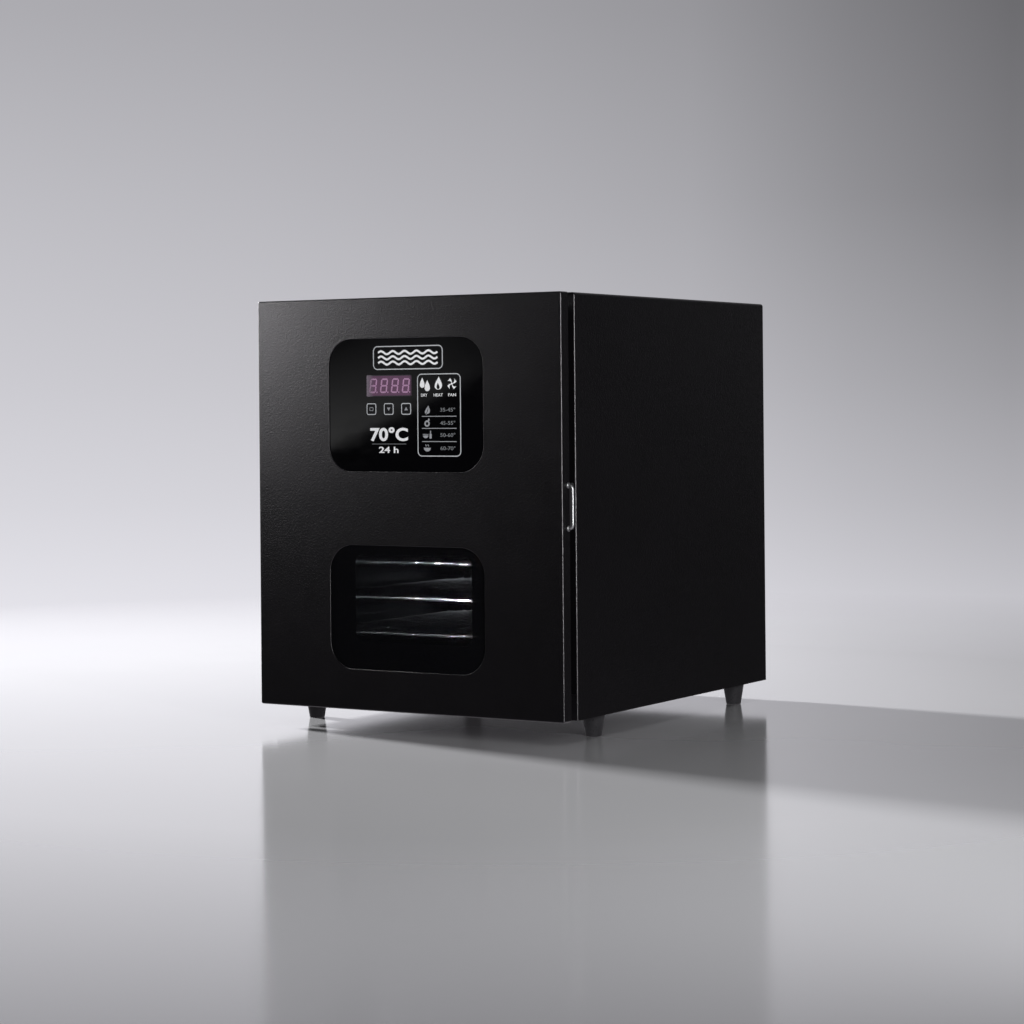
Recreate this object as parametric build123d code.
"""Countertop dryer box: a sheet-metal cabinet on four feet, with a hinged control door, wire trays,
and a fan heater behind the drying chamber.

Frame: X to the right across the front, Y from the front to the back, Z up. The origin is on the
supporting surface, under the middle of the body. Everything is in millimetres.
"""

import math
import os

from build123d import *

# ---------------------------------------------------------------- driving dimensions
WIDTH = 350.0
HEIGHT = 400.0
CABINET_DEPTH = 400.0
DOOR_DEPTH = 13.0
DOOR_GAP = 12.0
FOOT_HEIGHT = 21.0
SHEET = 1.2
LINER_SHEET = 1.0
FIT = 0.1

# planes that the parts are set out from
Z_LOW = FOOT_HEIGHT
Z_HIGH = FOOT_HEIGHT + HEIGHT
Z_MIDDLE = (Z_LOW + Z_HIGH) / 2
X_SIDE = WIDTH / 2
Y_DOOR = -(DOOR_DEPTH + DOOR_GAP + CABINET_DEPTH) / 2
Y_DOOR_REAR = Y_DOOR + DOOR_DEPTH
Y_FRONT = Y_DOOR_REAR + DOOR_GAP
Y_REAR = Y_FRONT + CABINET_DEPTH
X_INSIDE = X_SIDE - SHEET

# cabinet frame
FRONT_FLANGE = 24.0
REAR_FLANGE = 14.0
BASE_FLANGE = 15.0
BEND = 1.6

# drying chamber and the plenum behind it
CHAMBER_X = 148.0
CHAMBER_LOW = Z_LOW + 27.0
CHAMBER_HIGH = Z_HIGH - 27.0
BAFFLE_Y, BAFFLE_DEPTH = 88.0, 12.0
BAFFLE_HOLE_R, BAFFLE_RINGS, BAFFLE_RING_PITCH = 4.0, 5, 12.0
PROBE_PLACE = (88.0, CHAMBER_HIGH - 34.0)
PROBE_R = 2.5
LINER_END_Y = 102.5
SHROUD_DEPTH = 58.0
SHROUD_Y = LINER_END_Y + FIT + SHROUD_DEPTH
FAN_Z = (CHAMBER_LOW + CHAMBER_HIGH) / 2

# trays
TRAYS = 8
TRAY_PITCH = 35.0
TRAY_LOW_Z = Z_LOW + 70.0
TRAY_FRONT_Y = Y_DOOR + 45.0
TRAY_DEPTH = 250.0
TRAY_HALF_WIDTH = 143.3
RIM_R = 2.0
WIRE_R = 0.8
WIRE_PITCH = 10.0
WIRE_GAP = 0.2
REST_GAP = 0.3
LEDGE_WIDTH = 9.8

# door openings, with centres measured from the underside of the door
OPENING_WIDTH = 178.0
OPENING_CORNER = 26.0
PANEL_HEIGHT, PANEL_CENTRE = 128.5, 296.0
WINDOW_HEIGHT, WINDOW_CENTRE = 120.5, 100.0
TUNNEL_WIDTH, TUNNEL_HEIGHT, TUNNEL_CENTRE = 156.0, 104.0, 104.0
GLASS = 3.0
GLASS_LAP = 7.0

# depth through the door: front panes, raised plug on the back, and the rear window pane
PLUG_X, PLUG_DEPTH = 164.0, 7.0
PLUG_INSET = X_SIDE - PLUG_X
Y_PLUG = Y_DOOR_REAR + PLUG_DEPTH
Y_GLASS = Y_DOOR + SHEET + FIT
Y_GLASS_REAR = Y_GLASS + GLASS
Y_INNER_GLASS = Y_PLUG - LINER_SHEET - FIT - GLASS

# display and keys, with heights measured from the underside of the door
DISPLAY_X, DISPLAY_Z = -18.6, 314.7
MODULE_WIDTH, MODULE_HEIGHT, MODULE_DEPTH = 50.3, 19.0, 8.0
LENS_WIDTH, LENS_HEIGHT, LENS_DEPTH = 52.3, 20.8, 1.5
DIGITS, DIGIT_PITCH, DIGIT_WIDTH, DIGIT_HEIGHT, DIGIT_SLANT = 4, 12.7, 6.6, 12.6, 0.14
SEGMENT_WIDTH = 1.5
KEY_X = {"key_set": -39.3, "key_down": -19.1, "key_up": 1.1}
KEY_Z = 292.2
KEY_SIZE, KEY_CORNER, KEY_TRAVEL = 12.0, 2.2, 0.5
KEY_FLANGE, STEM_R = 0.8, 1.7
SWITCH_WIDTH, SWITCH_DEPTH, SWITCH_WELL = 6.0, 3.5, 2.0
Y_MODULE = Y_GLASS + LENS_DEPTH + 0.2
Y_BOARD = Y_MODULE + MODULE_DEPTH + FIT
BOARD_THICKNESS = 1.6

# hinges on the left edge of the door
HINGE_X = -X_SIDE + 4.0
HINGE_Y = (Y_DOOR_REAR + Y_FRONT) / 2
HINGE_HEIGHTS = {"upper": Z_HIGH - 62.0, "lower": Z_LOW + 62.0}
HINGE_R, HINGE_PIN_R = 3.5, 1.5
HINGE_LEAF = 1.5
HINGE_HALF_LENGTH = 27.0
KNUCKLE_HALF, KNUCKLE_MIDDLE = 16.0, 7.0
HINGE_SCREW_OFFSET = 21.5

# handle on the right edge of the door
HANDLE_Y = Y_DOOR + 10.0
HANDLE_SPACING = 40.0
HANDLE_R, HANDLE_REACH, HANDLE_BEND = 1.5, 5.0, 4.0

# feet
FOOT_X, FOOT_INSET = 162.0, 52.0
FOOT_TOP_R, FOOT_LOW_R = 11.0, 7.5
FOOT_WELL_R, FOOT_WELL_DEPTH, FOOT_BOLT_R = 4.2, 12.0, 1.9
FEET = {
    "foot_front_left": (-FOOT_X, Y_FRONT + FOOT_INSET),
    "foot_front_right": (FOOT_X, Y_FRONT + FOOT_INSET),
    "foot_rear_left": (-FOOT_X, Y_REAR - FOOT_INSET),
    "foot_rear_right": (FOOT_X, Y_REAR - FOOT_INSET),
}

# fan, motor and heater
SHAFT_R = 3.0
RUNNING = 0.05
FAN_R, FAN_BLADES, FAN_DEPTH, FAN_SHEET = 72.0, 10, 32.0, 1.2
STATOR_FRONT_Y, STATOR_DEPTH = SHROUD_Y + 16.0, 18.0
ROTOR_R = 12.5
MOTOR_BOLT_X, MOTOR_BOLT_R, MOTOR_BOLT_HOLE_R = 24.0, 1.95, 2.2
COIL_BAR_LOW, COIL_BAR_HIGH = FAN_Z + 40.0, FAN_Z + 52.0
COIL_X, COIL_CHEEK = 17.0, 1.5
HEATER_RING_R, HEATER_TUBE_R, HEATER_Y = 92.0, 3.25, 118.0
HEATER_GAP_ANGLE, HEATER_BEND = 13.0, 7.0
CUTOFF_X, CUTOFF_Z = -70.0, FAN_Z + 86.0

# power board behind the shroud
BOARD_X, BOARD_Y, BOARD_Z = -84.0, SHROUD_Y + 9.0, Z_LOW + 80.0
BOARD_WIDTH, BOARD_HEIGHT = 104.0, 74.0

# rear of the cabinet
PANEL_SCREW_R, PANEL_SCREW_HEAD_R, PANEL_SCREW_LENGTH = 1.45, 3.2, 7.0
INLET_X, INLET_Z = 90.0, Z_LOW + 62.0
INLET_SCREW_SPACING = 40.0
VENT_X, VENT_Z = 0.0, Z_HIGH - 52.0
VENT_WIDTH, VENT_HEIGHT = 62.0, 20.0


# ---------------------------------------------------------------- shape helpers
def block(x0, x1, y0, y1, z0, z1):
    """A box between two corners."""
    centre = Pos((x0 + x1) / 2, (y0 + y1) / 2, (z0 + z1) / 2)
    return centre * Box(abs(x1 - x0), abs(y1 - y0), abs(z1 - z0))


def rod(start, end, radius):
    """A round bar from one point to another."""
    start, end = Vector(*start), Vector(*end)
    plane = Plane(origin=start, z_dir=(end - start).normalized())
    return plane * Cylinder(
        radius, (end - start).length, align=(Align.CENTER, Align.CENTER, Align.MIN)
    )


def rod_y(x, z, radius, y0, y1):
    return rod((x, y0, z), (x, y1, z), radius)


def plate_y(sketch, y0, y1, x=0.0, z=0.0):
    """A sketch drawn across X and Z, made solid from y0 to y1."""
    return Pos(x, y0, z) * extrude(Plane.XZ * sketch, amount=y1 - y0, dir=(0, 1, 0))


def rounded_y(width, height, radius, y0, y1, x=0.0, z=0.0):
    return plate_y(RectangleRounded(width, height, radius), y0, y1, x, z)


def slot_y(length, width, y0, y1, x, z, upright=False):
    """A round-ended bar across Y, for cutting a slot."""
    turn = Rot(0, 0, 90 if upright else 0)
    return plate_y(turn * SlotOverall(length, width), y0, y1, x, z)


def around(count, first=0.0):
    """Evenly spaced angles in a full turn, in degrees."""
    return [first + 360.0 * i / count for i in range(count)]


def polar(radius, angle, x=0.0, z=0.0):
    a = math.radians(angle)
    return x + radius * math.cos(a), z + radius * math.sin(a)


def edges_on_y(shape, y, x_limit=None):
    """Edges that lie in the plane at y, or only those within x_limit of the middle."""
    found = shape.edges().filter_by_position(Axis.Y, y - 0.01, y + 0.01)
    return [e for e in found if x_limit is None or abs(e.center().X) < x_limit]


# ---------------------------------------------------------------- cabinet
def rear_screw_places():
    """X and Z of the screws around the rear panel, and whether each goes into the base."""
    side = X_SIDE - REAR_FLANGE / 2
    sides = [(s * side, Z_LOW + h) for s in (-1, 1) for h in (45.0, 150.0, 255.0, 360.0)]
    top = [(s * 80.0, Z_HIGH - REAR_FLANGE / 2 - 1.0) for s in (-1, 1)]
    bottom = [(s * 80.0, Z_LOW + BASE_FLANGE / 2) for s in (-1, 1)]
    return sides + top, bottom


def hinge_screw_places():
    return [
        (HINGE_X + 1.8, z + s * HINGE_SCREW_OFFSET)
        for z in HINGE_HEIGHTS.values()
        for s in (-1, 1)
    ]


def cabinet_shell():
    """Wrapper of the top and both sides, folded in at the front and at the back."""
    body = block(-X_SIDE, X_SIDE, Y_FRONT, Y_REAR, Z_LOW, Z_HIGH)
    top_bends = body.edges().filter_by(Axis.Y).group_by(Axis.Z)[-1]
    body = fillet(top_bends, 3.0)
    front = [e for e in edges_on_y(body, Y_FRONT) if e.center().Z > Z_LOW + 1]
    body = fillet(front, BEND)
    rear = [e for e in edges_on_y(body, Y_REAR) if e.center().Z > Z_LOW + 1]
    body = fillet(rear, 1.0)
    body -= block(
        -X_INSIDE, X_INSIDE, Y_FRONT + SHEET, Y_REAR - SHEET, Z_LOW - 1, Z_HIGH - SHEET
    )
    mouth = X_SIDE - FRONT_FLANGE
    body -= block(-mouth, mouth, Y_FRONT - 1, Y_FRONT + 2, Z_LOW - 1, Z_HIGH - FRONT_FLANGE)
    body -= block(
        -X_INSIDE, X_INSIDE, Y_FRONT - 1, Y_FRONT + 2, Z_LOW - 1, Z_LOW + FRONT_FLANGE + FIT
    )
    back = X_SIDE - REAR_FLANGE
    body -= block(-back, back, Y_REAR - 2, Y_REAR + 1, Z_LOW - 1, Z_HIGH - REAR_FLANGE - 2)
    body -= block(
        -X_INSIDE, X_INSIDE, Y_REAR - 2, Y_REAR + 1, Z_LOW - 1, Z_LOW + BASE_FLANGE + FIT
    )
    for x, z in rear_screw_places()[0]:
        body -= rod_y(x, z, PANEL_SCREW_R + FIT, Y_REAR - 2, Y_REAR + 1)
    for x, z in hinge_screw_places():
        body -= rod_y(x, z, 1.5, Y_FRONT - 1, Y_FRONT + 2)
    return body


def base_pan():
    """Folded floor of the cabinet, with air slots under the rear compartment."""
    half = X_INSIDE - FIT
    pan = block(-half, half, Y_FRONT, Y_REAR, Z_LOW, Z_LOW + FRONT_FLANGE)
    pan -= block(
        -half + SHEET, half - SHEET, Y_FRONT + SHEET, Y_REAR - SHEET,
        Z_LOW + SHEET, Z_LOW + FRONT_FLANGE + 1,
    )
    pan -= block(
        -half - 1, half + 1, Y_FRONT + SHEET, Y_REAR + 1,
        Z_LOW + BASE_FLANGE, Z_LOW + FRONT_FLANGE + 1,
    )
    for x, y in FEET.values():
        pan -= rod((x, y, Z_LOW - 1), (x, y, Z_LOW + 3), FOOT_BOLT_R + 0.3)
    for i in range(12):
        x = (i - 5.5) * 16.0
        pan -= Pos(x, Y_REAR - 26, Z_LOW - 1) * extrude(Rot(0, 0, 90) * SlotOverall(28, 5), 4)
    for x, z in rear_screw_places()[1]:
        pan -= rod_y(x, z, PANEL_SCREW_R + FIT, Y_REAR - 2, Y_REAR + 1)
    return pan


def rear_panel():
    """Flat rear cover, with a slotted grille over the motor."""
    low, high = Y_REAR + FIT, Y_REAR + FIT + SHEET
    panel = rounded_y(WIDTH - 4, HEIGHT - 4, 4.0, low, high, 0, Z_MIDDLE)
    sides, bottom = rear_screw_places()
    for x, z in sides + bottom:
        panel -= rod_y(x, z, PANEL_SCREW_R + 0.25, low - 1, high + 1)
    for column in (-52.0, 52.0):
        for row in range(11):
            panel -= slot_y(86, 4, low - 1, high + 1, column, FAN_Z - 50 + 10 * row)
    panel -= rounded_y(VENT_WIDTH + 1, VENT_HEIGHT + 1, 2.0, low - 1, high + 1, VENT_X, VENT_Z)
    panel -= rounded_y(28.6, 20.6, 2.0, low - 1, high + 1, INLET_X, INLET_Z)
    for s in (-1, 1):
        x = INLET_X + s * INLET_SCREW_SPACING / 2
        panel -= rod_y(x, INLET_Z, PANEL_SCREW_R + 0.25, low - 1, high + 1)
    return panel


def pan_screw(x, z, y, length, out):
    """A pan-head screw across Y whose head sits on the plane y; out is -1 or 1, the head's side."""
    head_height = 2.0
    shank = rod_y(x, z, PANEL_SCREW_R, y, y - out * length)
    head = rod_y(x, z, PANEL_SCREW_HEAD_R, y, y + out * head_height)
    head = fillet(edges_on_y(head, y + out * head_height), 0.9)
    cross = block(x - 1.8, x + 1.8, y + out * 1.1, y + out * 3, z - 0.4, z + 0.4)
    cross += block(x - 0.4, x + 0.4, y + out * 1.1, y + out * 3, z - 1.8, z + 1.8)
    return shank + head - cross


def rear_panel_screws():
    outer = Y_REAR + FIT + SHEET
    sides, bottom = rear_screw_places()
    screws = [pan_screw(x, z, outer, PANEL_SCREW_LENGTH, 1) for x, z in sides + bottom]
    flange = outer + 2.0
    for s in (-1, 1):
        x = INLET_X + s * INLET_SCREW_SPACING / 2
        screws.append(pan_screw(x, INLET_Z, flange, PANEL_SCREW_LENGTH, 1))
    return Compound(screws)


def foot(x, y):
    """Tapered foot with a screw well in its underside."""
    body = Pos(x, y, FOOT_HEIGHT / 2) * Cone(FOOT_LOW_R, FOOT_TOP_R, FOOT_HEIGHT)
    body = fillet(body.edges().group_by(Axis.Z)[0], 1.0)
    body -= rod((x, y, -1), (x, y, FOOT_WELL_DEPTH), FOOT_WELL_R)
    body -= rod((x, y, FOOT_WELL_DEPTH - 1), (x, y, FOOT_HEIGHT + 1), FOOT_BOLT_R + 0.3)
    return body


def foot_screws():
    """One screw and one nut for each foot."""
    pieces = []
    for x, y in FEET.values():
        seat = FOOT_WELL_DEPTH
        screw = rod((x, y, seat - 2.5), (x, y, seat), 3.6)
        screw += rod((x, y, seat), (x, y, Z_LOW + 7), FOOT_BOLT_R)
        nut = Pos(x, y, Z_LOW + SHEET) * extrude(RegularPolygon(3.9, 6), 3.2)
        nut -= rod((x, y, Z_LOW), (x, y, Z_LOW + 6), FOOT_BOLT_R + RUNNING)
        pieces += [screw, nut]
    return Compound(pieces)


# ---------------------------------------------------------------- drying chamber
def chamber_liner():
    """Bright steel tunnel open at both ends, with a flange behind the cabinet's front frame."""
    outer_x, t = CHAMBER_X + LINER_SHEET, LINER_SHEET
    front = Y_FRONT + SHEET + FIT
    tube = block(-outer_x, outer_x, front, LINER_END_Y, CHAMBER_LOW - t, CHAMBER_HIGH + t)
    flange = block(-165, 165, front, front + t, CHAMBER_LOW - 17, CHAMBER_HIGH + 17)
    rear = block(-158, 158, LINER_END_Y - t, LINER_END_Y, CHAMBER_LOW - 10, CHAMBER_HIGH + 10)
    bore = block(
        -CHAMBER_X, CHAMBER_X, front - 1, LINER_END_Y + 1, CHAMBER_LOW, CHAMBER_HIGH
    )
    return tube + flange + rear - bore


def tray_levels():
    return [TRAY_LOW_Z + i * TRAY_PITCH for i in range(TRAYS)]


def tray_ladder(side):
    """Side plate with a folded ledge for each tray; side is -1 on the left and 1 on the right."""
    wall = CHAMBER_X - 0.2
    face = wall - LINER_SHEET
    y0, y1 = Y_FRONT + 12.0, BAFFLE_Y - 3.0
    low, high = TRAY_LOW_Z - 18.0, tray_levels()[-1] + 20.0
    ladder = block(side * face, side * wall, y0, y1, low, high)
    for z in tray_levels():
        top = z - RIM_R - REST_GAP
        ladder += block(side * (face - LEDGE_WIDTH), side * face, y0, y1, top - 1.0, top)
        ladder += block(side * (face - LEDGE_WIDTH), side * face, y1 - 1.0, y1, top - 1.0, top + 4.0)
    return ladder


def tray(z):
    """Bent rim with a welded grid of wires: bars from front to back lie over the cross wires."""
    y0, y1 = TRAY_FRONT_Y, TRAY_FRONT_Y + TRAY_DEPTH
    depth, width = y1 - y0, 2 * TRAY_HALF_WIDTH
    loop = Pos(0, (y0 + y1) / 2, z) * RectangleRounded(width, depth, 14.0).wire()
    start = Plane(origin=(0, y0, z), z_dir=(1, 0, 0))
    rim = sweep(start * Circle(RIM_R), path=loop)
    bar_z = z + RIM_R + WIRE_GAP + WIRE_R
    cross_z = bar_z - 2 * WIRE_R - WIRE_GAP
    across = int((width - 16) / 2 // WIRE_PITCH)
    bars = [
        rod((i * WIRE_PITCH, y0 - 1, bar_z), (i * WIRE_PITCH, y1 + 1, bar_z), WIRE_R)
        for i in range(-across, across + 1)
    ]
    reach = TRAY_HALF_WIDTH - RIM_R - WIRE_GAP
    count = int((depth - 10) // WIRE_PITCH)
    first = (y0 + y1) / 2 - (count - 1) / 2 * WIRE_PITCH
    ties = [
        rod((-reach, first + i * WIRE_PITCH, cross_z), (reach, first + i * WIRE_PITCH, cross_z), WIRE_R)
        for i in range(count)
    ]
    return Compound([rim.solid()] + bars + ties)


def air_baffle():
    """Perforated rear wall of the chamber: intake rings over the fan, outlet slots at the sides."""
    half = CHAMBER_X - FIT
    low, high = CHAMBER_LOW + FIT, CHAMBER_HIGH - FIT
    t = LINER_SHEET
    y0, y1 = BAFFLE_Y - 1, BAFFLE_Y + t + 1
    baffle = block(-half, half, BAFFLE_Y, BAFFLE_Y + BAFFLE_DEPTH, low, high)
    baffle -= block(-half + t, half - t, BAFFLE_Y + t, BAFFLE_Y + BAFFLE_DEPTH + 1, low + t, high - t)
    cutters = [rod_y(0, FAN_Z, BAFFLE_HOLE_R, y0, y1)]
    for ring in range(1, BAFFLE_RINGS + 1):
        for angle in around(6 * ring):
            x, z = polar(BAFFLE_RING_PITCH * ring, angle, 0, FAN_Z)
            cutters.append(rod_y(x, z, BAFFLE_HOLE_R, y0, y1))
    for x in (-130.0, -112.0, 112.0, 130.0):
        for row in range(-3, 4):
            cutters.append(slot_y(34, 7, y0, y1, x, FAN_Z + row * 42.0, upright=True))
    cutters.append(rod_y(*PROBE_PLACE, PROBE_R + FIT, y0, y1))
    return baffle - cutters


def temperature_probe():
    """Sensor tube through the baffle, with its clamping collar behind it."""
    x, z = PROBE_PLACE
    tube = rod_y(x, z, PROBE_R, BAFFLE_Y - 3.5, BAFFLE_Y + 22)
    tube = fillet(edges_on_y(tube, BAFFLE_Y - 3.5), 1.2)
    collar = plate_y(RegularPolygon(5.5, 6), BAFFLE_Y + 1 + FIT, BAFFLE_Y + 6, x, z)
    return tube + collar


def heater_shroud():
    """Steel pan behind the baffle that holds the fan air."""
    t, front = LINER_SHEET, LINER_END_Y + FIT
    low, high, half = CHAMBER_LOW, CHAMBER_HIGH, CHAMBER_X
    pan = block(-half, half, front, SHROUD_Y, low, high)
    pan += block(-158, 158, front, front + t, low - 10, high + 10)
    pan -= block(-half + t, half - t, front - 1, SHROUD_Y - t, low + t, high - t)
    y0, y1 = SHROUD_Y - 3, SHROUD_Y + 1
    pan -= rod_y(0, FAN_Z, 7.0, y0, y1)
    for s in (-1, 1):
        pan -= rod_y(s * MOTOR_BOLT_X, FAN_Z, MOTOR_BOLT_HOLE_R, y0, y1)
        pan -= rod_y(s * heater_leg_x(), heater_leg_z(), HEATER_TUBE_R + 0.4, y0, y1)
    pan -= rounded_y(VENT_WIDTH - 4, VENT_HEIGHT - 4, 1.5, y0, y1, VENT_X, VENT_Z)
    pan -= rod_y(*PROBE_PLACE, PROBE_R, y0, y1)
    return pan


# ---------------------------------------------------------------- heater, fan and motor
def heater_leg_x():
    a = math.radians(HEATER_GAP_ANGLE)
    return HEATER_RING_R * math.sin(a) - HEATER_BEND * math.cos(a)


def heater_leg_z():
    a = math.radians(HEATER_GAP_ANGLE)
    return FAN_Z + HEATER_RING_R * math.cos(a) + HEATER_BEND * math.sin(a)


def heater_element():
    """Tubular heating ring round the fan, its two legs turned back through a mounting plate."""
    end_y = SHROUD_Y + 8.0
    a = math.radians(HEATER_GAP_ANGLE)

    def ring_end(s):
        return Vector(
            s * HEATER_RING_R * math.sin(a), HEATER_Y, FAN_Z + HEATER_RING_R * math.cos(a)
        )

    def bend(s):
        turn = math.sqrt(0.5)
        start = ring_end(s)
        inward = Vector(-s * math.cos(a), 0, math.sin(a))
        middle = start + inward * (HEATER_BEND * turn) + Vector(0, HEATER_BEND * (1 - turn), 0)
        finish = start + inward * HEATER_BEND + Vector(0, HEATER_BEND, 0)
        return start, middle, finish

    left, right = bend(-1), bend(1)
    ring = ThreePointArc(left[0], Vector(0, HEATER_Y, FAN_Z - HEATER_RING_R), right[0])
    path = Wire(
        [
            Line(Vector(left[2].X, end_y, left[2].Z), left[2]),
            ThreePointArc(left[2], left[1], left[0]),
            ring,
            ThreePointArc(right[0], right[1], right[2]),
            Line(right[2], Vector(right[2].X, end_y, right[2].Z)),
        ]
    )
    section = Plane(origin=(left[2].X, end_y, left[2].Z), z_dir=(0, -1, 0)) * Circle(HEATER_TUBE_R)
    element = sweep(section, path=path).solid()
    x, z = heater_leg_x(), heater_leg_z()
    element += rounded_y(46, 16, 4, SHROUD_Y + FIT, SHROUD_Y + FIT + 1.5, 0, z)
    for s in (-1, 1):
        element += rod_y(s * x, z, 1.6, end_y - 1, end_y + 8)
        element += block(s * x - 3.1, s * x + 3.1, end_y + 6, end_y + 14, z - 0.4, z + 0.4)
    return element


def fan_impeller():
    """Pressed disc with radial blades on a hub, and the nut that holds it on the shaft."""
    disc_y = SHROUD_Y - 22.0
    y0 = disc_y - FAN_DEPTH
    hub = rod_y(0, FAN_Z, 9.0, disc_y - 10, disc_y + 4)
    wheel = hub + rod_y(0, FAN_Z, FAN_R, disc_y, disc_y + FAN_SHEET)
    for angle in around(FAN_BLADES):
        blade = block(26, FAN_R - 1, y0, disc_y + 0.5, -0.6, 0.6)
        wheel += Pos(0, 0, FAN_Z) * (Rot(0, -angle, 0) * blade)
    ring = rod_y(0, FAN_Z, FAN_R, y0, y0 + FAN_SHEET) - rod_y(0, FAN_Z, FAN_R - 14, y0 - 1, y0 + 2)
    wheel += ring
    wheel -= rod_y(0, FAN_Z, SHAFT_R + 0.02, disc_y - 20, disc_y + 10)
    nut = plate_y(RegularPolygon(5.8, 6), disc_y - 15.2, disc_y - 10.2, 0, FAN_Z)
    nut -= rod_y(0, FAN_Z, SHAFT_R + 0.02, disc_y - 20, disc_y)
    return Compound([wheel, nut])


def motor_rotor():
    """Motor shaft with its rotor core."""
    shaft = rod_y(0, FAN_Z, SHAFT_R, SHROUD_Y - 40, STATOR_FRONT_Y + STATOR_DEPTH + 13)
    core = rod_y(0, FAN_Z, ROTOR_R, STATOR_FRONT_Y, STATOR_FRONT_Y + STATOR_DEPTH)
    return shaft + core


def motor_stator():
    """Laminated frame, with a bore for the rotor and an upper bar for the coil."""
    y0, y1 = STATOR_FRONT_Y, STATOR_FRONT_Y + STATOR_DEPTH
    stack = block(-32, 32, y0, y1, FAN_Z - 26, COIL_BAR_HIGH)
    stack -= block(-20, 20, y0 - 1, y1 + 1, FAN_Z + 22, COIL_BAR_LOW)
    stack -= rod_y(0, FAN_Z, ROTOR_R + 0.5, y0 - 1, y1 + 1)
    for s in (-1, 1):
        stack -= rod_y(s * MOTOR_BOLT_X, FAN_Z, MOTOR_BOLT_HOLE_R, y0 - 1, y1 + 1)
    return stack


def motor_coil():
    """Wound bobbin round the stator's upper bar."""
    y0, y1 = STATOR_FRONT_Y, STATOR_FRONT_Y + STATOR_DEPTH
    low, high, end = COIL_BAR_LOW, COIL_BAR_HIGH, COIL_X + COIL_CHEEK
    bar = block(-end - 1, end + 1, y0 - FIT, y1 + FIT, low - FIT, high + FIT)
    coil = block(-COIL_X, COIL_X, y0 - 9, y1 + 9, low - 10, high + 10)
    coil = fillet(coil.edges().filter_by(Axis.X), 3.0) - bar
    cheeks = [
        block(s * COIL_X, s * end, y0 - 11, y1 + 11, low - 12, high + 12) - bar for s in (-1, 1)
    ]
    return coil + cheeks


def motor_bracket(front):
    """Bearing strap across the stator; the boss holds the shaft."""
    face = STATOR_FRONT_Y - FIT if front else STATOR_FRONT_Y + STATOR_DEPTH + FIT
    out = -1 if front else 1
    strap = block(-31, 31, face, face + out * 2.5, FAN_Z - 8, FAN_Z + 8)
    strap = fillet(strap.edges().filter_by(Axis.Y), 4.0)
    strap += rod_y(0, FAN_Z, 8.0, face + out * 1.0, face + out * 9.0)
    strap -= rod_y(0, FAN_Z, SHAFT_R + RUNNING, face - out, face + out * 12)
    strap -= rod_y(0, FAN_Z, ROTOR_R - 4, face - out, face + out * 0.6)
    for s in (-1, 1):
        strap -= rod_y(s * MOTOR_BOLT_X, FAN_Z, MOTOR_BOLT_HOLE_R, face - out, face + out * 4)
    return strap


def motor_brackets():
    return Compound([motor_bracket(True), motor_bracket(False)])


def motor_bolts():
    """Two long bolts with spacers and nuts that hang the motor on the shroud."""
    pieces = []
    front = STATOR_FRONT_Y - FIT - 2.5
    back = STATOR_FRONT_Y + STATOR_DEPTH + FIT + 2.5
    for s in (-1, 1):
        x = s * MOTOR_BOLT_X
        bolt = rod_y(x, FAN_Z, MOTOR_BOLT_R, SHROUD_Y - 6, back)
        bolt += rod_y(x, FAN_Z, 3.6, back, back + 2.6)
        spacer = rod_y(x, FAN_Z, 4.2, SHROUD_Y + FIT, front - FIT)
        spacer -= rod_y(x, FAN_Z, MOTOR_BOLT_R + FIT, SHROUD_Y, front)
        inner = SHROUD_Y - LINER_SHEET - FIT
        nut = plate_y(RegularPolygon(4.0, 6), inner - 3.2, inner, x, FAN_Z)
        nut -= rod_y(x, FAN_Z, MOTOR_BOLT_R + RUNNING, inner - 4, inner + 1)
        pieces += [bolt, spacer, nut]
    return Compound(pieces)


def thermal_cutoff():
    """Disc thermostat on the outside of the shroud, with its two tabs."""
    x, z, y = CUTOFF_X, CUTOFF_Z, SHROUD_Y + FIT
    body = rod_y(x, z, 8.0, y, y + 7) + block(x - 15, x + 15, y, y + 0.8, z - 4, z + 4)
    for s in (-1, 1):
        body += block(x + s * 4 - 0.4, x + s * 4 + 0.4, y + 6, y + 15, z - 3.1, z + 3.1)
    return body


# ---------------------------------------------------------------- electrics
def board_hole_places():
    return [
        (BOARD_X + sx * (BOARD_WIDTH / 2 - 5), BOARD_Z + sz * (BOARD_HEIGHT / 2 - 5))
        for sx in (-1, 1)
        for sz in (-1, 1)
    ]


def power_board():
    board = rounded_y(
        BOARD_WIDTH, BOARD_HEIGHT, 2.0, BOARD_Y, BOARD_Y + BOARD_THICKNESS, BOARD_X, BOARD_Z
    )
    for x, z in board_hole_places():
        board -= rod_y(x, z, 1.7, BOARD_Y - 1, BOARD_Y + 3)
    return board


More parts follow.
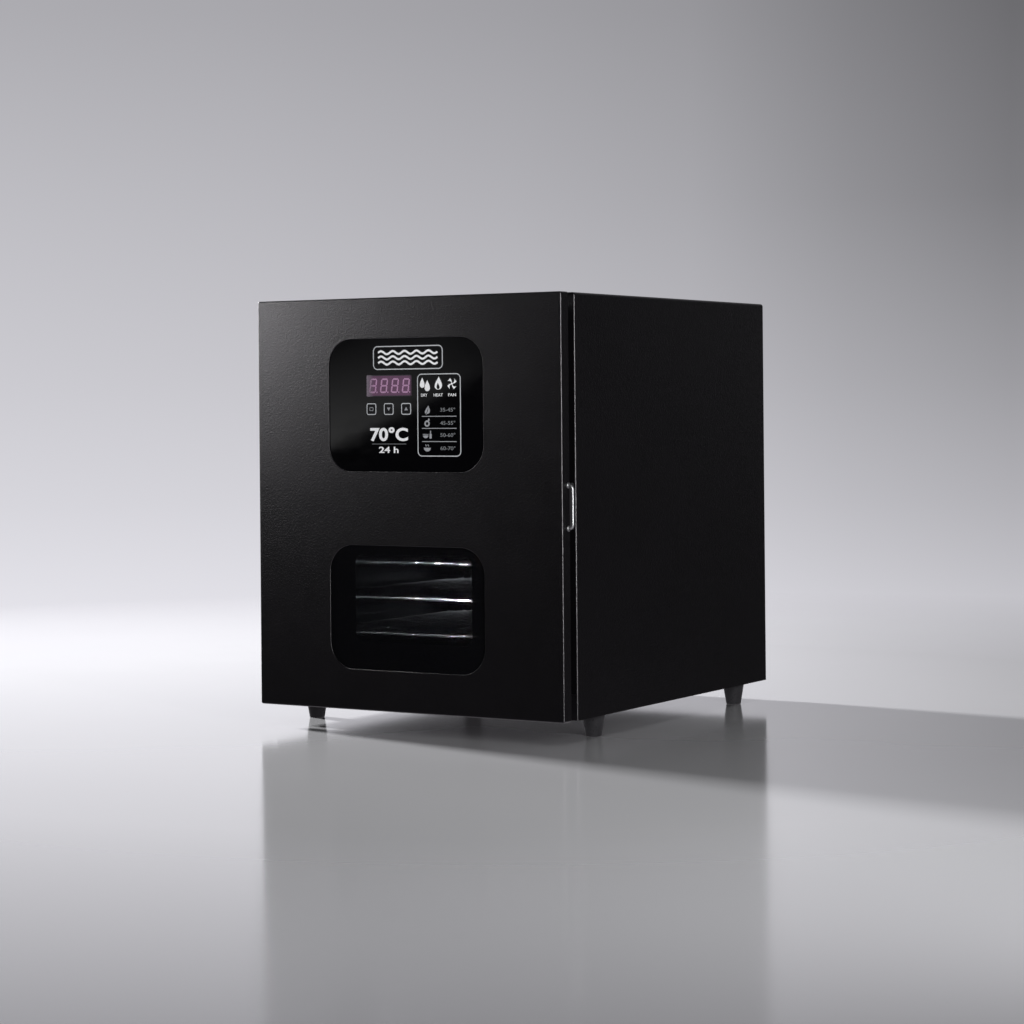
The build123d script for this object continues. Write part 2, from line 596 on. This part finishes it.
def board_components():
    """Standoffs with their screws, transformer, relays, capacitor, heatsink and terminal block."""
    face = BOARD_Y + BOARD_THICKNESS
    pieces = []
    for x, z in board_hole_places():
        pieces.append(rod_y(x, z, 3.0, SHROUD_Y + FIT, BOARD_Y - FIT))
        pieces.append(rod_y(x, z, 1.5, BOARD_Y, face) + rod_y(x, z, 2.8, face, face + 1.8))

    def part(x, z, width, height, depth, corner=0.6):
        box = block(
            BOARD_X + x - width / 2, BOARD_X + x + width / 2, face, face + depth,
            BOARD_Z + z - height / 2, BOARD_Z + z + height / 2,
        )
        return fillet(box.edges().group_by(Axis.Y)[-1], corner)

    transformer = part(-26, 12, 34, 28, 25, 1.5)
    relays = [part(6, z, 19, 15.5, 15) for z in (20, 1)]
    terminals = part(0, -24, 62, 10, 12)
    pieces += [transformer, *relays, terminals]
    heatsink = part(34, 8, 16, 30, 20)
    for i in range(4):
        z = BOARD_Z + 8 - 10.5 + 7 * i
        heatsink -= block(
            BOARD_X + 25, BOARD_X + 43, face + 4, face + 22, z - 1.2, z + 1.2
        )
    pieces.append(heatsink)
    pieces.append(rod_y(BOARD_X - 32, BOARD_Z - 14, 5.0, face, face + 18))
    return Compound(pieces)


def mains_inlet():
    """Screw-mounted appliance inlet with a recessed socket and three blades."""
    outer = Y_REAR + FIT + SHEET
    flange = rounded_y(50, 26, 5, outer, outer + 2.0, INLET_X, INLET_Z)
    barrel = rounded_y(28, 20, 2, outer - 24, outer + 2.0, INLET_X, INLET_Z)
    socket = rounded_y(24.6, 16.8, 2.5, outer - 17, outer + 3, INLET_X, INLET_Z)
    inlet = flange + barrel - socket
    for x, z in ((0, 2.2), (-7, -2.2), (7, -2.2)):
        x, z = INLET_X + x, INLET_Z + z
        inlet += block(x - 1, x + 1, outer - 18, outer - 3.5, z - 2, z + 2)
        inlet += block(x - 0.4, x + 0.4, outer - 33, outer - 23, z - 2.4, z + 2.4)
    for s in (-1, 1):
        x = INLET_X + s * INLET_SCREW_SPACING / 2
        inlet -= rod_y(x, INLET_Z, PANEL_SCREW_R + 0.25, outer - 1, outer + 3)
    return inlet


def wire(points, radius=1.2, widest_bend=12.0):
    """A wire along straight runs joined by arcs, each as wide as its two runs allow."""
    corners = [Vector(*p) for p in points]
    runs = [(b - a).length for a, b in zip(corners, corners[1:])]
    bends = [min(widest_bend, 0.45 * min(pair)) for pair in zip(runs, runs[1:])]
    path = FilletPolyline(*corners, radius=bends)
    section = Plane(origin=corners[0], z_dir=corners[1] - corners[0]) * Circle(radius)
    return sweep(section, path=path).solid()


def wiring():
    """Leads between the inlet, board, heater, motor, cut-off and probe, and the earth's lug."""
    face = BOARD_Y + BOARD_THICKNESS + FIT
    block_y, block_low, block_z = BOARD_Y + 13.6 + FIT, BOARD_Z - 29 - FIT, BOARD_Z - 24
    tab_y = Y_REAR + FIT + SHEET - 33 - FIT
    low_z, high_z = INLET_Z - 2.2, INLET_Z + 2.2
    heater_x, heater_z, heater_tab_y = heater_leg_x(), heater_leg_z(), SHROUD_Y + 22 + FIT
    cutoff_tab_y = SHROUD_Y + 15 + 2 * FIT
    coil_y = STATOR_FRONT_Y + STATOR_DEPTH + 4
    probe_x, probe_z = PROBE_PLACE
    lug_z, lug_y = INLET_Z + 31, SHROUD_Y + 1.5
    near, middle, far = SHROUD_Y + 7.5, SHROUD_Y + 21.5, SHROUD_Y + 29.5
    supply = [
        wire([
            (x, SHROUD_Y + 16.5, block_low), (x, SHROUD_Y + 16.5, z),
            (end_x, y, z), (end_x, y, low_z), (end_x, tab_y, low_z),
        ])
        for x, z, end_x, y in (
            (BOARD_X - 16, Z_LOW + 34, INLET_X - 7, near),
            (BOARD_X - 8, Z_LOW + 30, INLET_X + 7, near + 3),
        )
    ]
    earth = wire([
        (INLET_X, tab_y, high_z), (INLET_X, near, high_z), (INLET_X, near, lug_z),
        (INLET_X, lug_y + FIT, lug_z),
    ])
    lug = rod_y(INLET_X, lug_z, 3.5, SHROUD_Y + FIT, lug_y)
    heater = [
        wire([
            (x, block_y, block_z), (x, far, block_z), (x, far, z),
            (end_x, far, z), (end_x, far, heater_z), (end_x, heater_tab_y, heater_z),
        ])
        for x, z, end_x in (
            (BOARD_X + 8, heater_z - 12, -heater_x), (BOARD_X + 18, heater_z - 20, heater_x)
        )
    ]
    cutoff = [
        wire([
            (x, cutoff_tab_y, CUTOFF_Z), (x, middle, CUTOFF_Z),
            (x, middle, BOARD_Z + 33), (x, face, BOARD_Z + 33),
        ])
        for x in (CUTOFF_X - 4, CUTOFF_X + 4)
    ]
    motor = [
        wire([
            (-COIL_X - COIL_CHEEK - FIT, coil_y, z), (x, coil_y, z),
            (x, coil_y, BOARD_Z + 30), (x, face, BOARD_Z + 30),
        ])
        for x, z in ((-46.0, FAN_Z + 35), (-54.0, FAN_Z + 43))
    ]
    probe = wire([
        (probe_x, BAFFLE_Y + 22 + FIT, probe_z), (probe_x, near, probe_z), (probe_x, near, BOARD_Z + 49),
        (-60, near, BOARD_Z + 49), (-60, near + 9, BOARD_Z + 49), (-60, near + 9, BOARD_Z + 28),
        (-60, face, BOARD_Z + 28),
    ], 0.8)
    return Compound(supply + [earth, lug] + heater + cutoff + motor + [probe])


def exhaust_duct():
    """Moist-air outlet from the shroud through the rear panel, with slanting louvres."""
    outer = Y_REAR + FIT + SHEET
    duct = rounded_y(
        VENT_WIDTH, VENT_HEIGHT, 2, SHROUD_Y + FIT, outer + 1.5, VENT_X, VENT_Z
    )
    duct += rounded_y(VENT_WIDTH + 12, VENT_HEIGHT + 12, 4, outer, outer + 1.5, VENT_X, VENT_Z)
    duct -= rounded_y(
        VENT_WIDTH - 3, VENT_HEIGHT - 3, 1, SHROUD_Y, outer + 3, VENT_X, VENT_Z
    )
    half = VENT_WIDTH / 2 - 1
    for i in range(3):
        blade = Rot(35, 0, 0) * Box(2 * half, 7.0, 1.0)
        duct += Pos(VENT_X, outer - 3.2, VENT_Z + 5.2 * (i - 1)) * blade
    return duct


# ---------------------------------------------------------------- door
def up_door(z):
    """Height on the object of a height measured from the underside of the door."""
    return Z_LOW + z


def door_skin():
    """Pressed front pan with the two rounded openings."""
    skin = block(-X_SIDE, X_SIDE, Y_DOOR, Y_DOOR_REAR, Z_LOW, Z_HIGH)
    skin = fillet(skin.edges().filter_by(Axis.Y), 2.0)
    skin = fillet(edges_on_y(skin, Y_DOOR), BEND)
    skin -= block(
        -X_INSIDE, X_INSIDE, Y_DOOR + SHEET, Y_DOOR_REAR + 1, Z_LOW + SHEET, Z_HIGH - SHEET
    )
    for height, centre in ((PANEL_HEIGHT, PANEL_CENTRE), (WINDOW_HEIGHT, WINDOW_CENTRE)):
        skin -= rounded_y(
            OPENING_WIDTH, height, OPENING_CORNER, Y_DOOR - 1, Y_DOOR + 3, 0, up_door(centre)
        )
    rims = edges_on_y(skin, Y_DOOR, x_limit=OPENING_WIDTH / 2 + 1)
    rims = [e for e in rims if abs(e.center().Z - Z_MIDDLE) < HEIGHT / 2 - 10]
    skin = fillet(rims, 0.5)
    for s in (-1, 1):
        z = Z_MIDDLE + s * HANDLE_SPACING / 2
        skin -= rod((X_SIDE - 3, HANDLE_Y, z), (X_SIDE + 1, HANDLE_Y, z), HANDLE_R + RUNNING)
    return skin


def door_inner_panel():
    """Folded rear panel of the door: an edge flange and a raised plug that fills the mouth."""
    half_x, half_z = X_INSIDE - 0.15, HEIGHT / 2 - SHEET - 0.15
    flange = block(
        -half_x, half_x, Y_DOOR_REAR - SHEET, Y_DOOR_REAR, Z_MIDDLE - half_z, Z_MIDDLE + half_z
    )
    plug_z = HEIGHT / 2 - PLUG_INSET
    plug = block(-PLUG_X, PLUG_X, Y_DOOR_REAR - SHEET, Y_PLUG, Z_MIDDLE - plug_z, Z_MIDDLE + plug_z)
    plug = fillet(plug.edges().filter_by(Axis.Y), 8.0)
    plug = fillet(edges_on_y(plug, Y_PLUG), 1.5)
    t = LINER_SHEET
    hollow = rounded_y(
        2 * (PLUG_X - t), 2 * (plug_z - t), 7.0, Y_DOOR_REAR - 2, Y_PLUG - t, 0, Z_MIDDLE
    )
    panel = flange + plug - hollow
    panel -= rounded_y(
        TUNNEL_WIDTH, TUNNEL_HEIGHT, 14.0, Y_PLUG - 3, Y_PLUG + 1, 0, up_door(TUNNEL_CENTRE)
    )
    for x, z in hinge_screw_places():
        panel -= rod_y(x, z, 1.5, Y_DOOR_REAR - 3, Y_DOOR_REAR + 1)
    return panel


def door_gasket():
    """Silicone seal round the rim of the plug."""
    width = 10.0
    outer_x, outer_z = PLUG_X - 1, HEIGHT / 2 - PLUG_INSET - 1
    thickness = Y_FRONT - REST_GAP - Y_PLUG
    ring = rounded_y(2 * outer_x, 2 * outer_z, 9.0, Y_PLUG, Y_PLUG + thickness, 0, Z_MIDDLE)
    ring -= rounded_y(
        2 * (outer_x - width), 2 * (outer_z - width), 4.0,
        Y_PLUG - 1, Y_PLUG + thickness + 1, 0, Z_MIDDLE,
    )
    return fillet(edges_on_y(ring, Y_PLUG + thickness), 2.0)


def control_panel_glass():
    """Black front pane behind the upper opening, cut for the display and the three keys."""
    pane = rounded_y(
        OPENING_WIDTH + 2 * GLASS_LAP, PANEL_HEIGHT + 2 * GLASS_LAP, OPENING_CORNER + GLASS_LAP,
        Y_GLASS, Y_GLASS_REAR, 0, up_door(PANEL_CENTRE),
    )
    pane -= rounded_y(
        LENS_WIDTH + 2 * FIT, LENS_HEIGHT + 2 * FIT, 1.1,
        Y_GLASS - 1, Y_GLASS_REAR + 1, DISPLAY_X, up_door(DISPLAY_Z),
    )
    for x in KEY_X.values():
        pane -= rounded_y(
            KEY_SIZE + 0.4, KEY_SIZE + 0.4, KEY_CORNER + 0.2,
            Y_GLASS - 1, Y_GLASS_REAR + 1, x, up_door(KEY_Z),
        )
    return pane


def display_lens():
    """Tinted lens flush with the pane."""
    return rounded_y(
        LENS_WIDTH, LENS_HEIGHT, 1.0, Y_GLASS, Y_GLASS + LENS_DEPTH, DISPLAY_X, up_door(DISPLAY_Z)
    )


def display_module():
    """Body of the four-digit display."""
    x, z = DISPLAY_X, up_door(DISPLAY_Z)
    return block(
        x - MODULE_WIDTH / 2, x + MODULE_WIDTH / 2, Y_MODULE, Y_MODULE + MODULE_DEPTH,
        z - MODULE_HEIGHT / 2, z + MODULE_HEIGHT / 2,
    )


def display_segments():
    """Seven bars and a point for each digit, standing just proud of the module's face."""
    half_w, half_h, t = DIGIT_WIDTH / 2, DIGIT_HEIGHT / 2, SEGMENT_WIDTH / 2
    gap = 0.15
    proud = 0.1

    def bar(x0, z0, x1, z1):
        """A six-sided bar between two corners of the digit, leant over with the digit."""
        along = Vector(x1 - x0, 0, z1 - z0).normalized()
        side = Vector(along.Z, 0, -along.X)
        a, b = Vector(x0, 0, z0) + along * gap, Vector(x1, 0, z1) - along * gap
        outline = [
            a, a + along * t + side * t, b - along * t + side * t,
            b, b - along * t - side * t, a + along * t - side * t,
        ]
        return [(p.X + DIGIT_SLANT * p.Z, p.Z) for p in outline]

    left, right, top, low = -half_w, half_w, half_h, -half_h
    ends = [
        (left, top, right, top), (left, 0, right, 0), (left, low, right, low),
        (left, 0, left, top), (right, 0, right, top), (left, low, left, 0), (right, low, right, 0),
    ]
    pieces = []
    for digit in range(DIGITS):
        x = DISPLAY_X + (digit - (DIGITS - 1) / 2) * DIGIT_PITCH - 0.6
        z = up_door(DISPLAY_Z)
        for e in ends:
            outline = Polygon(*bar(*e), align=None)
            pieces.append(plate_y(outline, Y_MODULE - proud, Y_MODULE, x, z))
        point = (x + half_w + 2.0 - DIGIT_SLANT * half_h, z + low)
        pieces.append(rod_y(*point, 0.75, Y_MODULE - proud, Y_MODULE))
    return Compound(pieces)


def control_board():
    """Circuit board behind the display, with its processor, buzzer and connector."""
    x0, x1, z0, z1 = -62.0, 66.0, up_door(252.0), up_door(336.0)
    rear = Y_BOARD + BOARD_THICKNESS
    board = block(x0, x1, Y_BOARD, rear, z0, z1)
    for x in (x0 + 5, x1 - 5):
        for z in (z0 + 5, z1 - 5):
            board -= rod_y(x, z, 1.6, Y_BOARD - 1, rear + 1)
    chip = block(24, 38, rear, rear + 2.2, up_door(286), up_door(300))
    buzzer = rod_y(-40, up_door(272), 4.5, rear, rear + 3.6)
    connector = block(-10, 14, rear, rear + 3.8, up_door(254), up_door(260))
    return Compound([board, chip, buzzer, connector])


def tact_switches():
    """Switch bodies on the board, each with a well for its key's stem."""
    y0 = Y_BOARD - SWITCH_DEPTH
    pieces = []
    for x in KEY_X.values():
        z = up_door(KEY_Z)
        half = SWITCH_WIDTH / 2
        body = block(x - half, x + half, y0, Y_BOARD, z - half, z + half)
        pieces.append(body - rod_y(x, z, STEM_R + FIT, y0 - 1, y0 + SWITCH_WELL))
    return Compound(pieces)


def key(x):
    """Square key cap, with a retaining flange behind the pane and a stem into its switch."""
    z = up_door(KEY_Z)
    flange_y = Y_GLASS_REAR + 0.2
    cap = rounded_y(KEY_SIZE, KEY_SIZE, KEY_CORNER, Y_GLASS - 0.1, flange_y, x, z)
    cap = fillet(edges_on_y(cap, Y_GLASS - 0.1), 0.25)
    across = KEY_SIZE + 2.5
    cap += rounded_y(across, across, KEY_CORNER, flange_y, flange_y + KEY_FLANGE, x, z)
    stem_end = Y_BOARD - SWITCH_DEPTH + SWITCH_WELL - KEY_TRAVEL - 0.4
    cap += rod_y(x, z, STEM_R, flange_y, stem_end)
    return cap


def window_glass_outer():
    return rounded_y(
        OPENING_WIDTH + 2 * GLASS_LAP, WINDOW_HEIGHT + 2 * GLASS_LAP, OPENING_CORNER + GLASS_LAP,
        Y_GLASS, Y_GLASS_REAR, 0, up_door(WINDOW_CENTRE),
    )


def window_tunnel():
    """Moulded frame that spaces the two panes and closes the door's hollow round the window."""
    y0, y1 = Y_GLASS_REAR + 0.6, Y_INNER_GLASS - FIT
    wall, lip = 2.0, 1.5
    z = up_door(TUNNEL_CENTRE)
    frame = rounded_y(TUNNEL_WIDTH + 2 * wall, TUNNEL_HEIGHT + 2 * wall, 16.0, y0, y1, 0, z)
    frame += rounded_y(
        OPENING_WIDTH + 8, WINDOW_HEIGHT + 6, OPENING_CORNER, y0, y0 + lip, 0,
        up_door(WINDOW_CENTRE),
    )
    frame += rounded_y(TUNNEL_WIDTH + 14, TUNNEL_HEIGHT + 14, 18.0, y1 - lip, y1, 0, z)
    frame -= rounded_y(TUNNEL_WIDTH, TUNNEL_HEIGHT, 14.0, y0 - 1, y1 + 1, 0, z)
    return frame


def window_glass_inner():
    return rounded_y(
        TUNNEL_WIDTH + 14, TUNNEL_HEIGHT + 14, 18.0, Y_INNER_GLASS, Y_INNER_GLASS + GLASS, 0,
        up_door(TUNNEL_CENTRE),
    )


def door_handle():
    """Bent wire pull with a collar at each foot, its ends peened over inside the flange."""
    inner, run = X_SIDE - SHEET - 1.0, X_SIDE + HANDLE_REACH
    z0, z1 = Z_MIDDLE - HANDLE_SPACING / 2, Z_MIDDLE + HANDLE_SPACING / 2
    corners = [(inner, HANDLE_Y, z0), (run, HANDLE_Y, z0), (run, HANDLE_Y, z1), (inner, HANDLE_Y, z1)]
    path = FilletPolyline(*corners, radius=HANDLE_BEND)
    section = Plane(origin=corners[0], z_dir=(1, 0, 0)) * Circle(HANDLE_R)
    pull = sweep(section, path=path).solid()
    for z in (z0, z1):
        collar = rod((X_SIDE, HANDLE_Y, z), (X_SIDE + 1.2, HANDLE_Y, z), 2.8)
        pull += fillet(collar.edges().group_by(Axis.X)[-1], 0.5)
    return pull


# ---------------------------------------------------------------- hinges and catch
def knuckle(z0, z1):
    bore = rod((HINGE_X, HINGE_Y, z0 - 1), (HINGE_X, HINGE_Y, z1 + 1), HINGE_PIN_R + RUNNING)
    return rod((HINGE_X, HINGE_Y, z0), (HINGE_X, HINGE_Y, z1), HINGE_R), bore


def hinge_half(z, on_door):
    """A leaf on the door or the cabinet, with ribs out to its share of the knuckles."""
    out = -1 if on_door else 1
    face = Y_DOOR_REAR if on_door else Y_FRONT
    spans = (
        [(-KNUCKLE_MIDDLE + 0.15, KNUCKLE_MIDDLE - 0.15)]
        if on_door
        else [(-KNUCKLE_HALF, -KNUCKLE_MIDDLE), (KNUCKLE_MIDDLE, KNUCKLE_HALF)]
    )
    leaf = block(
        HINGE_X - 2.5, HINGE_X + 5.5, face, face - out * HINGE_LEAF,
        z - HINGE_HALF_LENGTH, z + HINGE_HALF_LENGTH,
    )
    leaf = fillet(leaf.edges().filter_by(Axis.Y), 1.0)
    bores = []
    for low, high in spans:
        barrel, bore = knuckle(z + low, z + high)
        rib = block(HINGE_X - 2, HINGE_X + 2, face - out * HINGE_LEAF / 2, HINGE_Y, z + low, z + high)
        leaf += barrel + rib
        bores.append(bore)
    for s in (-1, 1):
        bores.append(
            rod_y(HINGE_X + 1.8, z + s * HINGE_SCREW_OFFSET, 1.5, face - 3, face + 3)
        )
    return leaf - bores


def hinge_pins():
    """A headed pin through the three knuckles of each hinge."""
    pins = []
    for z in HINGE_HEIGHTS.values():
        x, y = HINGE_X, HINGE_Y
        pin = rod((x, y, z - KNUCKLE_HALF - 1.0), (x, y, z + KNUCKLE_HALF + 0.1), HINGE_PIN_R)
        head = rod((x, y, z + KNUCKLE_HALF + 0.1), (x, y, z + KNUCKLE_HALF + 1.9), 2.6)
        pins.append(pin + fillet(head.edges().group_by(Axis.Z)[-1], 0.6))
    return Compound(pins)


def hinge_screws(on_door):
    """Low-head screws that hold the leaves, two to each."""
    out = -1 if on_door else 1
    leaf_face = (Y_DOOR_REAR if on_door else Y_FRONT) - out * HINGE_LEAF
    screws = []
    for x, z in hinge_screw_places():
        shank = rod_y(x, z, 1.4, leaf_face, leaf_face + out * 5.0)
        head = rod_y(x, z, 2.7, leaf_face, leaf_face - out * 1.4)
        head = fillet(edges_on_y(head, leaf_face - out * 1.4), 0.6)
        screws.append(shank + head)
    return Compound(screws)


def door_magnet():
    """Catch on the free edge of the door; its magnet draws on the steel front frame."""
    x0, x1 = X_SIDE - 8.5, X_SIDE - 2.0
    housing = block(x0, x1, Y_DOOR_REAR, Y_FRONT - 0.8, Z_MIDDLE - 22, Z_MIDDLE + 22)
    housing = fillet(housing.edges().filter_by(Axis.Y), 1.5)
    pole = block(
        x0 + 1.6, x1 - 1.6, Y_FRONT - 5.0, Y_FRONT - 0.5, Z_MIDDLE - 15, Z_MIDDLE + 15
    )
    return Compound([housing - pole, pole])


# ---------------------------------------------------------------- write every node
def build():
    nodes = {
        "cabinet_shell": cabinet_shell(),
        "base_pan": base_pan(),
        "rear_panel": rear_panel(),
        "rear_panel_screws": rear_panel_screws(),
        "foot_screws": foot_screws(),
        "chamber_liner": chamber_liner(),
        "tray_ladder_left": tray_ladder(-1),
        "tray_ladder_right": tray_ladder(1),
        "air_baffle": air_baffle(),
        "temperature_probe": temperature_probe(),
        "heater_shroud": heater_shroud(),
        "heater_element": heater_element(),
        "fan_impeller": fan_impeller(),
        "motor_rotor": motor_rotor(),
        "motor_stator": motor_stator(),
        "motor_coil": motor_coil(),
        "motor_brackets": motor_brackets(),
        "motor_bolts": motor_bolts(),
        "thermal_cutoff": thermal_cutoff(),
        "power_board": power_board(),
        "board_components": board_components(),
        "mains_inlet": mains_inlet(),
        "wiring": wiring(),
        "exhaust_duct": exhaust_duct(),
        "door_skin": door_skin(),
        "door_inner_panel": door_inner_panel(),
        "door_gasket": door_gasket(),
        "control_panel_glass": control_panel_glass(),
        "display_lens": display_lens(),
        "display_module": display_module(),
        "display_segments": display_segments(),
        "control_board": control_board(),
        "tact_switches": tact_switches(),
        "window_glass_outer": window_glass_outer(),
        "window_tunnel": window_tunnel(),
        "window_glass_inner": window_glass_inner(),
        "door_handle": door_handle(),
        "door_magnet": door_magnet(),
        "hinge_pins": hinge_pins(),
        "hinge_frame_screws": hinge_screws(False),
        "hinge_door_screws": hinge_screws(True),
    }
    for name, z in HINGE_HEIGHTS.items():
        nodes[f"hinge_{name}_frame_half"] = hinge_half(z, False)
        nodes[f"hinge_{name}_door_half"] = hinge_half(z, True)
    for name, x in KEY_X.items():
        nodes[name] = key(x)
    for name, (x, y) in FEET.items():
        nodes[name] = foot(x, y)
    for number, z in enumerate(tray_levels(), start=1):
        nodes[f"tray_{number}"] = tray(z)
    return nodes


os.makedirs("parts", exist_ok=True)
for node, shape in build().items():
    export_step(shape, f"parts/{node}.step")
